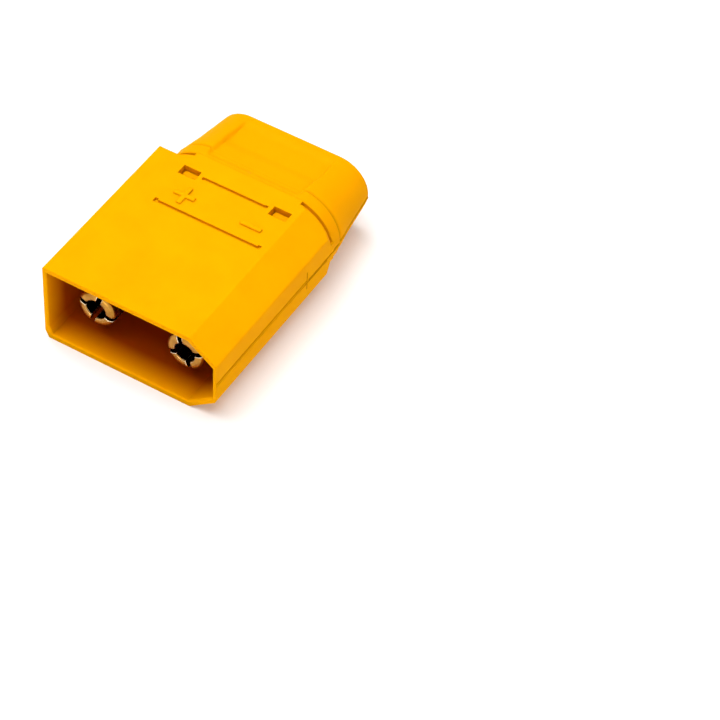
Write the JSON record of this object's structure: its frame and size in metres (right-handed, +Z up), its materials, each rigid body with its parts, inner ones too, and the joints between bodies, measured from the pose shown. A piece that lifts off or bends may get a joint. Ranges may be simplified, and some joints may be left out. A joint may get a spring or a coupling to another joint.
{
  "type": "battery connector",
  "caption": "Polarised power connector for battery leads: an open nylon shroud round two split gold-plated pins, with a latched cover over the solder cups.",
  "frame": {"origin": "centre of the bounding box at its underside: under the middle of the whole connector, on the broad face it lies on", "axes": "+X across the two pins towards the bevelled side of the shroud, +Y from the mating mouth to the cable end, +Z up, square to the broad faces"},
  "size_m": [0.021, 0.032, 0.0103],
  "materials": {
    "housing_nylon": "satin",
    "cover_nylon": "satin",
    "gold_plated_brass": "polished"
  },
  "bodies": {
    "root": {"housing": "housing_nylon", "rear_cover": "cover_nylon", "contact_plus": "gold_plated_brass", "contact_minus": "gold_plated_brass"}
  },
  "joints": []
}
